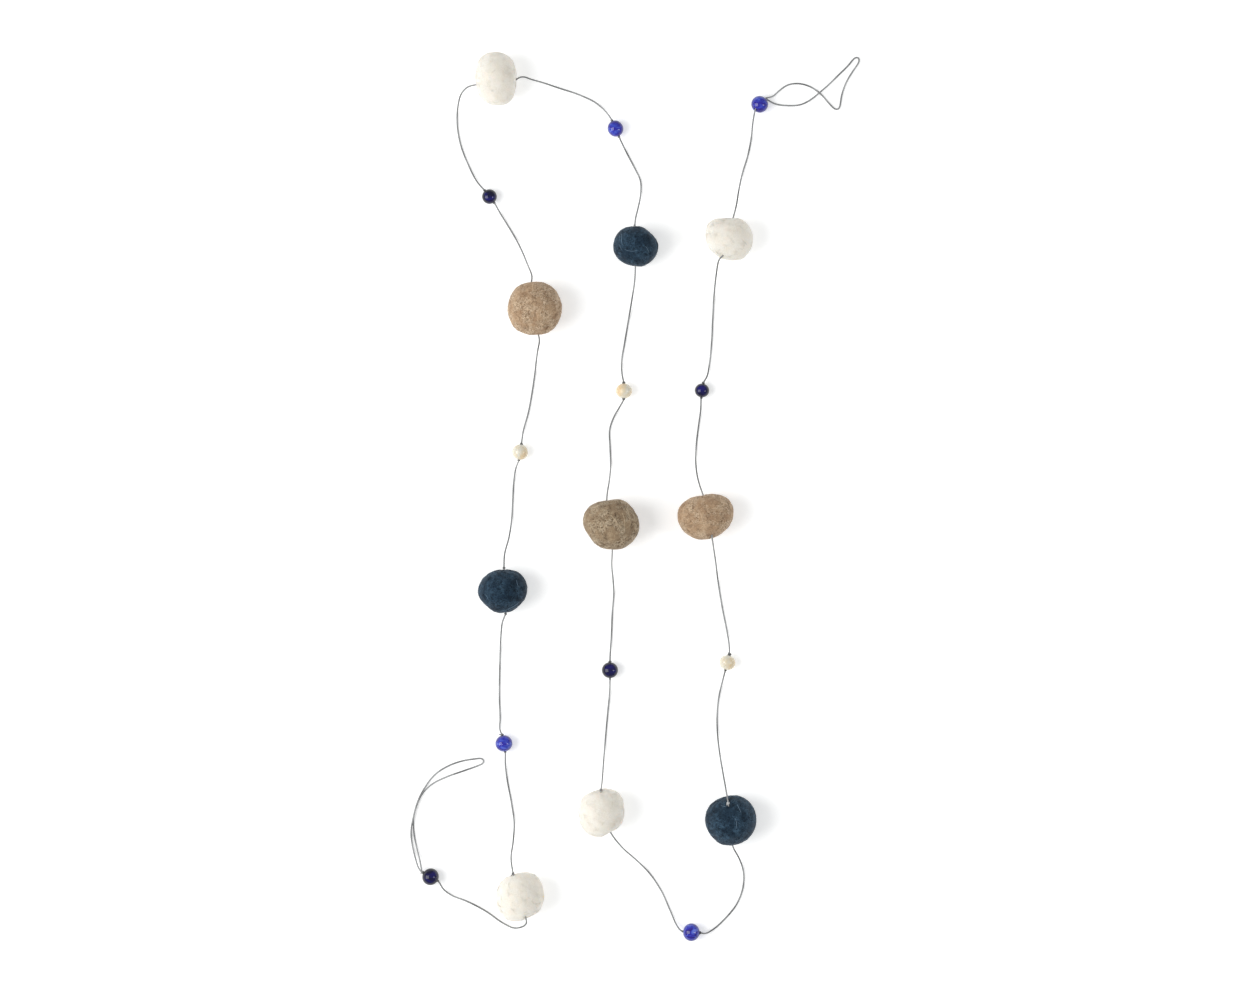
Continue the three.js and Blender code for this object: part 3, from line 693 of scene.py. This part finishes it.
def felt_material(name):
    """Matted wool: clouded colour, finer flecks in some patches, and pale and dark fibres on it."""
    look = FELT[name]
    tones = [srgb(*tone) for tone in look["tones"]]
    s = Shader("felt_" + name)
    cloud = s.noise(200, detail=2.5, rough=0.55)
    patches = s.ramp(s.noise(150, detail=1.5), (0.42, 0.3), (0.56, 1.0))
    fleck = s.noise(1900, detail=1.5, rough=0.6, warp=0.8)
    lively = s.math("MULTIPLY", s.math("SUBTRACT", fleck, 0.5), patches)
    flecked = s.math("ADD", s.math("MULTIPLY", lively, 0.9), 0.375)
    blend = s.math("ADD", s.math("MULTIPLY", cloud, 0.25), flecked)
    colour = s.ramp(blend, (0.4, tones[0]), (0.5, tones[1]), (0.6, tones[2]))
    dark = s.math("MULTIPLY", s.threads(620, 0.075, apart=0.31), patches)
    colour = s.mix(s.math("MULTIPLY", dark, look["dark_by"]), colour, srgb(*look["dark"]))
    pale = s.math("MAXIMUM", s.threads(900, 0.06), s.threads(480, 0.055, apart=0.17))
    pale = s.math("MULTIPLY", pale, patches)
    colour = s.mix(s.math("MULTIPLY", pale, look["pale_by"]), colour, srgb(*look["pale"]))
    normal = s.bump(fleck, look["relief"], 0.8)
    normal = s.bump(s.math("SUBTRACT", pale, dark), look["relief"] * 0.4, 0.8, normal)
    s.set(Base_Color=colour, Normal=normal, Roughness=0.6)
    s.set(Specular_IOR_Level=look["gloss"], Specular_Tint=srgb(*look["gloss_tint"]))
    s.set(Sheen_Weight=look["sheen"], Sheen_Roughness=0.4, Sheen_Tint=srgb(*look["sheen_tint"]))
    if look["within"]:
        s.set(Subsurface_Weight=look["within"], Subsurface_Radius=(1.0, 0.9, 0.78))
        s.set(Subsurface_Scale=0.011)
    return s.material


def stray_material(name):
    """The coarse pale fibres that show singly."""
    s = Shader("stray_" + name)
    return s.set(Base_Color=srgb(*FELT[name]["stray"]), Roughness=0.6)


def fibre_material(name):
    """Loose wool fibres, each of its own tone."""
    look = FELT[name]
    tones = [srgb(*tone) for tone in (look["dark"], *look["tones"], look["pale"])]
    s = Shader("fibre_" + name)
    own = s.node("NewGeometry").outputs["Random Per Island"]
    colour = s.ramp(own, *zip((0.05, 0.25, 0.45, 0.7, 0.95), tones))
    return s.set(Base_Color=colour, Roughness=0.8, Specular_IOR_Level=0.3)


def cord_material(name, tone):
    """Waxed cotton, mid grey with darker handled stretches, all of it times one tone. On the knot
    copies that tone is painted light: below 1 it paints shade, above 1 it paints light.
    """
    def grey(value):
        return tuple(c * tone for c in srgb(value, value + 1, value + 1)[:3]) + (1.0,)

    s = Shader(name)
    broad = s.noise(70, detail=2.5, rough=0.6)
    fine = s.noise(2600, detail=2.0, rough=0.7)
    colour = s.ramp(broad, (0.36, grey(104)), (0.5, grey(143)), (0.64, grey(178)))
    colour = s.mix(s.math("MULTIPLY", fine, 0.35), colour, grey(94))
    s.set(Base_Color=colour, Normal=s.bump(fine, 0.00004, 0.6))
    return s.set(Roughness=0.5, Specular_IOR_Level=0.4)


def swirl(s, size, stretch, turn, warp):
    """A streaked field inside glass, drawn out along one way."""
    values = {"Vector": s.place, "Rotation": turn, "Scale": stretch}
    place = s.node("Mapping", values).outputs["Vector"]
    return s.noise(1000 / size, detail=2.5, rough=0.55, warp=warp, place=place)


def painted_edge_shade(s, start, end, most):
    """How much painted edge shade shows, from none in the middle to most at the edge, where the
    surface turns away from the view.
    """
    facing = s.node("LayerWeight", {"Blend": 0.5}).outputs["Facing"]
    return s.ramp(facing, (start, 0.0), (end, most))


def cobalt_glass():
    """Cobalt glass with paler streaks, and painted shade that deepens its colour towards the edge.
    """
    s = Shader("glass_cobalt")
    streak = swirl(s, 5.0, (0.5, 1.3, 1.0), (0.3, 0.5, 0.6), 1.4)
    colour = s.ramp(
        streak,
        (0.36, srgb(36, 18, 128)), (0.47, srgb(44, 38, 168)),
        (0.56, srgb(54, 72, 192)), (0.68, srgb(112, 130, 230)),
    )
    colour = s.mix(painted_edge_shade(s, 0.3, 0.85, 0.9), colour, srgb(26, 14, 104))
    return s.set(Base_Color=colour, Roughness=0.07, Transmission_Weight=0.15, IOR=1.5)


def ink_glass():
    """Blue-black glass, blue in its middle only: painted shade makes its edge near-black."""
    s = Shader("glass_ink")
    streak = swirl(s, 6.0, (0.6, 1.2, 1.0), (0.2, 0.4, 1.2), 1.0)
    colour = s.ramp(streak, (0.38, srgb(5, 3, 42)), (0.62, srgb(18, 13, 98)))
    colour = s.mix(painted_edge_shade(s, 0.16, 0.6, 1.0), colour, srgb(3, 4, 9))
    return s.set(Base_Color=colour, Roughness=0.05, Transmission_Weight=0.0, IOR=1.42)


def cream_glass():
    """Milky cream glass, clouded inside."""
    s = Shader("glass_cream")
    cloud = swirl(s, 9.0, (1.0, 0.7, 1.0), (0.1, 0.3, 0.2), 0.6)
    colour = s.ramp(
        cloud,
        (0.38, srgb(224, 219, 204)), (0.5, srgb(226, 212, 184)), (0.64, srgb(230, 204, 164)),
    )
    s.set(Subsurface_Weight=0.75, Subsurface_Radius=(1.0, 0.95, 0.8), Subsurface_Scale=0.002)
    return s.set(Base_Color=colour, Roughness=0.16, Transmission_Weight=0.08, IOR=1.5)


# Camera, surface and light

def make_camera():
    """The camera straight above, framed as the photograph is."""
    data = bpy.data.cameras.new("camera")
    data.sensor_width = SENSOR
    data.lens = SENSOR * CAMERA_PLACE[2] / CAMERA_SPAN
    data.clip_end = 20
    camera = bpy.data.objects.new("camera", data)
    camera.location = Vector(CAMERA_PLACE) * MM
    bpy.context.scene.collection.objects.link(camera)
    bpy.context.scene.camera = camera


def make_floor():
    """The white surface that the garland lies on, glowing a little so that shadows stay faint."""
    mesh = bpy.data.meshes.new("floor")
    corners = [(-1, -1), (1, -1), (1, 1), (-1, 1)]
    mesh.from_pydata([(x * FLOOR_HALF, y * FLOOR_HALF, 0) for x, y in corners], [], [(0, 1, 2, 3)])
    s = Shader("floor_white")
    grain = s.noise(30, detail=2.0)
    white = s.ramp(grain, (0.3, srgb(247, 247, 246)), (0.7, srgb(250, 250, 249)))
    s.set(Base_Color=white, Roughness=0.9, Specular_IOR_Level=0.1)
    s.set(Emission_Color=(1, 1, 1, 1), Emission_Strength=FLOOR_GLOW)
    mesh.materials.append(s.material)
    floor = bpy.data.objects.new("floor", mesh)
    bpy.context.scene.collection.objects.link(floor)


def soft_light(name, bearing, rise, distance, size, power):
    """A rectangular light that looks at the middle of the surface."""
    data = bpy.data.lights.new(name, "AREA")
    data.shape = "RECTANGLE"
    data.size, data.size_y = size
    data.energy = power
    light = bpy.data.objects.new(name, data)
    place = Vector(towards(bearing, rise)) * distance
    light.location = place
    light.rotation_euler = place.to_track_quat("Z", "Y").to_euler()
    bpy.context.scene.collection.objects.link(light)


def make_light():
    """An even pale sky, the soft lights, and colours shown as they are."""
    world = bpy.data.worlds.new("studio")
    bpy.context.scene.world = world
    world.use_nodes = True
    background = world.node_tree.nodes["Background"]
    background.inputs["Color"].default_value = SKY_COLOUR
    background.inputs["Strength"].default_value = SKY_STRENGTH
    for light in LIGHTS:
        soft_light(*light)
    bpy.context.scene.view_settings.view_transform = "Standard"


# The garland

def felt_surface(ball, ways, seed):
    """Points of a ball's felt along unit vectors, with its dents, pulled-in holes and flat spot."""
    reach = felt_reach(ball, ways)
    base = ball["middle"] + ways * reach[:, None]
    rough = FELT[ball["felt"]]["rough"]
    for size, depth in BUMPS:
        reach = reach + depth * gradient_noise(base / size, seed)
    for size, depth in CREASES:
        crease = np.abs(gradient_noise(base / size, seed + 1))
        reach = reach + depth * rough * (np.minimum(crease, 0.3) - 0.2)
    depth, width = GROOVE
    for ends in ball.get("nicks", ()):
        a, b = (towards(*place) for place in ends)
        share = np.clip((ways - a) @ (b - a) / max((b - a) @ (b - a), 1e-9), 0, 1)[:, None]
        away = np.linalg.norm(ways - a - (b - a) * share, axis=1) * reach
        reach = reach - depth * np.exp(-((away / width) ** 2))
    for end in ("enters", "leaves"):
        away = np.linalg.norm(base - ball[end], axis=1)
        for depth, width in DIMPLES:
            reach = reach - depth * np.exp(-((away / width) ** 2))
    points = ball["middle"] + ways * reach[:, None]
    height = points[:, 2]
    points[:, 2] = np.where(height < FOOT, FOOT * np.exp(height / FOOT - 1), height)
    return points


def lying_fibres(ball, rng, seed):
    """Fibres that wander over a ball's surface in small locks, a hair's breadth proud of it."""
    points, locks = len(LYING_RADII), LYING_FIBRES // LOCK
    way = np.repeat(unit(rng.normal(size=(locks, 3))), LOCK, axis=0)
    ahead = np.repeat(unit(rng.normal(size=(locks, 3))), LOCK, axis=0)
    way = unit(way + rng.normal(0, 0.012, way.shape))
    ahead = unit(np.cross(way, unit(ahead + rng.normal(0, 0.12, ahead.shape))))
    step = np.repeat(rng.uniform(0.025, 0.06, (locks, 1)), LOCK, axis=0)
    curl = np.repeat(rng.normal(0, 0.24, (locks, 1)), LOCK, axis=0)
    lift = rng.uniform(0.02, 0.13, (LYING_FIBRES, 1))
    lines = []
    for i in range(points):
        rise = lift * math.sin(math.pi * (i + 0.4) / points) - 0.03 * (i in (0, points - 1))
        lines.append(felt_surface(ball, way, seed) + way * rise)
        turn = curl + rng.normal(0, 0.1, (LYING_FIBRES, 1))
        ahead = unit(ahead + np.cross(way, ahead) * turn)
        way = unit(way + ahead * step)
        ahead = unit(ahead - way * np.sum(ahead * way, axis=1, keepdims=True))
    return np.stack(lines, 1)


def loose_fibres(ball, rng, seed):
    """Short ends that stand out of a ball's surface."""
    count = LOOSE_FIBRES
    way = unit(rng.normal(size=(count, 3)))
    root = felt_surface(ball, way, seed) - way * 0.08
    lean = unit(np.cross(way, unit(rng.normal(size=(count, 3)))))
    long = rng.gamma(2.2, 0.22, (count, 1)).clip(0.15, 1.5)
    out = rng.uniform(0.25, 1.0, (count, 1))
    mid = root + unit(way * out + lean * 0.8) * long * 0.55
    bend = unit(way * out * 0.5 + lean + rng.normal(0, 0.5, (count, 3)))
    return np.stack([root, mid, mid + bend * long * 0.5], 1)


def stray_fibres(ball, seed):
    """The few long pale fibres that show on a ball, each bent round three places."""
    lines = []
    for places in ball.get("strays", ()):
        a, b, c = (towards(*place) for place in places)
        t = np.linspace(0, 1, STRAY_POINTS)[:, None]
        way = unit((1 - t) ** 2 * a + 2 * t * (1 - t) * b + t ** 2 * c)
        lines.append(felt_surface(ball, way, seed) + way * STRAY_PROUD * np.sin(math.pi * t))
    return np.array(lines)


def make_ball(index, ball, sphere, materials):
    """One felt ball with its lying, loose and stray fibres."""
    name = f"ball_{index + 1:02d}"
    rng = np.random.default_rng(FIBRE_SEED + index)
    seed = SURFACE_SEED + index * 5
    ways, faces = sphere[0], list(sphere[1])
    corners = [felt_surface(ball, ways, seed)]
    slots = [0] * len(faces)
    strands = [
        (lying_fibres(ball, rng, seed), LYING_RADII, 1),
        (loose_fibres(ball, rng, seed), LOOSE_RADII, 1),
    ]
    strays = stray_fibres(ball, seed)
    if len(strays):
        radii = np.interp(np.arange(STRAY_POINTS), *STRAY_RADII)
        strands.append((strays, radii, 2))
    else:
        materials = materials[:2]
    for lines, radii, slot in strands:
        lines[..., 2] = np.maximum(lines[..., 2], FIBRE_LOWEST)
        more, ring = fibres(lines, radii)
        start = sum(map(len, corners))
        corners.append(more)
        faces += [[i + start for i in face] for face in ring]
        slots += [slot] * len(ring)
    points = np.vstack(corners)
    points[:, 2] = np.maximum(points[:, 2], 0.0)
    piece = new_piece(name + "_felt", points, faces, materials, slots)
    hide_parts(name)


def bead_profile(bead):
    """A bead's closed outline, as (distance from the hole's middle line, place along it)."""
    radius = bead["thick"] / 2
    start = math.asin(HOLE_RADIUS / radius) + 0.02
    half = bead["long"] / 2 / math.cos(start)
    outer = np.linspace(start, math.pi - start, BEAD_RINGS)
    profile = [(radius * math.sin(a), -math.cos(a) * half) for a in outer]
    end = profile[-1][1]
    mouth, bore = HOLE_RADIUS + 0.02, HOLE_RADIUS - 0.04
    profile += [(mouth, end - LIP * 0.4), (bore, end - LIP)]
    profile += [(bore, LIP - end), (mouth, LIP * 0.4 - end)]
    return profile


def make_bead(index, bead, material):
    """A round bead turned about its hole, with a rounded lip and a true hole."""
    name = f"bead_{index + 1:02d}"
    profile = bead_profile(bead)
    axis = unit(bead["leaves"] - bead["enters"])
    side = unit(np.cross(axis, [0.2, 0.1, 0.97]))
    up = np.cross(axis, side)
    angle = 2 * math.pi * np.arange(BEAD_SIDES) / BEAD_SIDES
    corners = np.array([
        bead["middle"] + axis * along + side * (r * math.cos(a)) + up * (r * math.sin(a))
        for r, along in profile for a in angle
    ])
    corners[:, 2] = np.maximum(corners[:, 2], 0.0)
    faces = ring_faces(len(profile), BEAD_SIDES, closed=True)
    piece = new_piece(name + "_glass", corners, faces, [material])
    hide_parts(name)


def knot_line(place, way, rng, size):
    """The closed line of a tight plaited knot round the cord."""
    side = unit(np.cross(way, unit(rng.normal(size=3))))
    up = np.cross(way, side)
    t = 2 * math.pi * np.arange(PLAIT_POINTS) / PLAIT_POINTS
    ring, roll = PLAIT_RING * KNOT_THICK * size, PLAIT_ROLL * KNOT_THICK * size
    r = ring + roll * np.cos(3 * t)
    return (
        place + side * (r * np.cos(2 * t))[:, None] + up * (r * np.sin(2 * t))[:, None]
        + way * (PLAIT_RISE * roll * np.sin(3 * t))[:, None]
    )


def cut_end(place, bearing, long, rng):
    """A short cut tail of the cord: its line, and the threads that come apart at its tip."""
    ahead = towards(bearing, 8)
    t = np.linspace(0, 1, 9)[:, None]
    line = place + ahead * long * t - np.array([0, 0, 0.3]) * long * t ** 2
    count = TAIL_THREADS
    spread = unit(ahead + rng.normal(0, 0.5, (count, 3)))[:, None]
    t = np.linspace(0, 1, len(TAIL_RADII))[:, None]
    roots = line[-2] + rng.normal(0, 0.12, (count, 1, 3))
    threads = roots + spread * rng.uniform(0.4, 0.9, (count, 1, 1)) * t
    return line, threads


def make_knots(threaded, route, materials):
    """The raised knots at the ends of the holes, each on the cord's own line."""
    rng = np.random.default_rng(KNOT_SEED)
    tangent = unit(np.gradient(route, axis=0))
    corners, faces, slots = [], [], []

    def add(shape, slot):
        corners.append(shape[0])
        faces.extend(shape[1])
        slots.extend([slot] * len(shape[1]))

    for piece in threaded:
        # Slot 0 is the knot material painted darker as painted shade, and slot 1 is the one painted
        # lighter as painted light.
        slot = 1 if piece.get("knot_painted_light") else 0
        for end, size in piece["knots"].items():
            hole = int(np.argmin(np.linalg.norm(route - piece[end + "s"], axis=1)))
            out = KNOT_OUT["glass" if "glass" in piece else "felt"] * KNOT_LONG * size
            at = hole + round(out / CORD_STEP) * (-1 if end == "enter" else 1)
            at = min(max(at, 0), len(route) - 1)
            start = sum(map(len, corners))
            line = knot_line(route[at], tangent[hole], rng, size)
            thick = PLAIT_STRAND * KNOT_THICK * size
            add(plied_tube(line, thick, PLAIT_TWISTS, closed=True, start=start), slot)
            if end in piece.get("tails", {}):
                tail, threads = cut_end(route[at], *piece["tails"][end], rng)
                start = sum(map(len, corners))
                add(plied_tube(tail, TAIL_SHARE * CORD_THICK, 0.5, start=start), slot)
                loose, ring = fibres(threads, TAIL_RADII)
                start = sum(map(len, corners))
                add((loose, [[i + start for i in face] for face in ring]), slot)
    points = np.vstack(corners)
    points[:, 2] = np.maximum(points[:, 2], 0.02)
    knots = new_piece("cord_knots", points, faces, materials, slots=slots)
    return knots


def make_cord(threaded, material, knot_materials):
    """One plied cord through every ball and bead, with a loop at each end, and its knots."""
    start, finish = knot_place(threaded[0], "enter"), knot_place(threaded[-1], "leave")
    route = [start, *FIRST_LOOP, start]
    for i, piece in enumerate(threaded):
        inside = [piece["middle"]] if "glass" in piece else []
        route += [piece["enters"], *inside, piece["leaves"]]
        if i < len(STRETCHES):
            route += STRETCHES[i]
    route += [finish, *LAST_LOOP, finish]
    points = smooth_route(route)
    for _ in range(EASE_PASSES):
        points[1:-1] = (points[:-2] + 2 * points[1:-1] + points[2:]) / 4
    long = np.linalg.norm(np.diff(points, axis=0), axis=1).sum()
    points[:, 2] = np.maximum(points[:, 2], CORD_THICK * CORD_LOWEST)
    tube = plied_tube(points, CORD_THICK, long / CORD_LAY)
    cord = new_piece("cord_strand", *tube, [material])
    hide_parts("cord")
    knots = make_knots(threaded, points, knot_materials)


make_camera()
balls = [place_ball(ball) for ball in BALLS]
beads = [place_bead(bead) for bead in BEADS]
threaded = [piece for pair in zip(beads, balls) for piece in pair] + [beads[-1]]
# The knots get two copies of the cord material: one painted darker as painted shade where knots sit
# in shadow, and one painted lighter as painted light for a knot lit from above.
make_cord(threaded, cord_material("waxed_cord", 1.0),
          [cord_material("waxed_knot_painted_shade", 0.62), cord_material("knot_painted_light", 1.5)])
make_floor()
make_light()

wool = {name: [felt_material(name), fibre_material(name), stray_material(name)] for name in FELT}
sphere = fine_sphere(SPHERE_CUTS)
for index, ball in enumerate(balls):
    make_ball(index, ball, sphere, wool[ball["felt"]])
glass = {"cobalt": cobalt_glass(), "ink": ink_glass(), "cream": cream_glass()}
for index, bead in enumerate(beads):
    make_bead(index, bead, glass[bead["glass"]])
